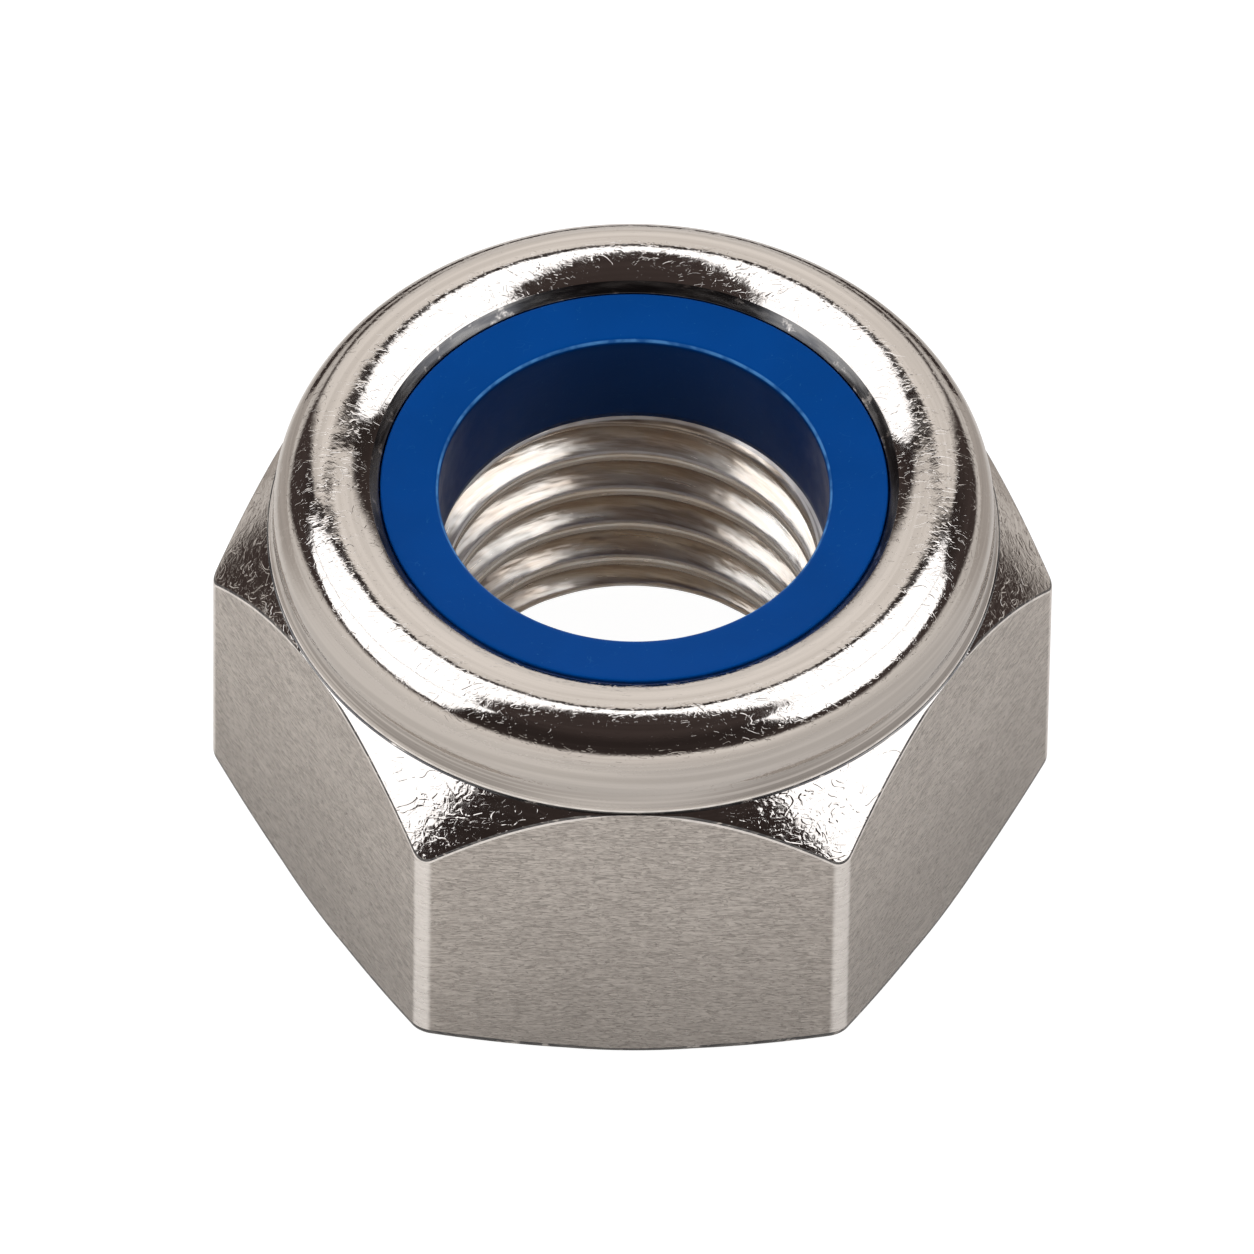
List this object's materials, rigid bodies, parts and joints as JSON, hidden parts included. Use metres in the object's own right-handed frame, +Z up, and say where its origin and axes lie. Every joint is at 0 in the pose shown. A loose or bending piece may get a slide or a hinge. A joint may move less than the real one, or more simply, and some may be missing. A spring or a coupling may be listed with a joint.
{
  "type": "nylon insert lock nut",
  "caption": "Hexagonal steel lock nut with a nylon locking ring held in its crimped round collar.",
  "frame": {"origin": "centre of the flat bottom face, on the thread's axis", "axes": "+Z up the thread's axis towards the nylon ring, +X through a corner of the hexagon, +Y square to a pair of flats"},
  "size_m": [0.0194, 0.017, 0.0107],
  "materials": {
    "steel": "bright stainless steel: satin flats with a fine grain, polished collar and shoulders",
    "nylon": "semi-gloss blue nylon with faint scratches"
  },
  "bodies": {
    "root": {"nut_body": "steel", "nylon_ring": "nylon"}
  },
  "joints": []
}
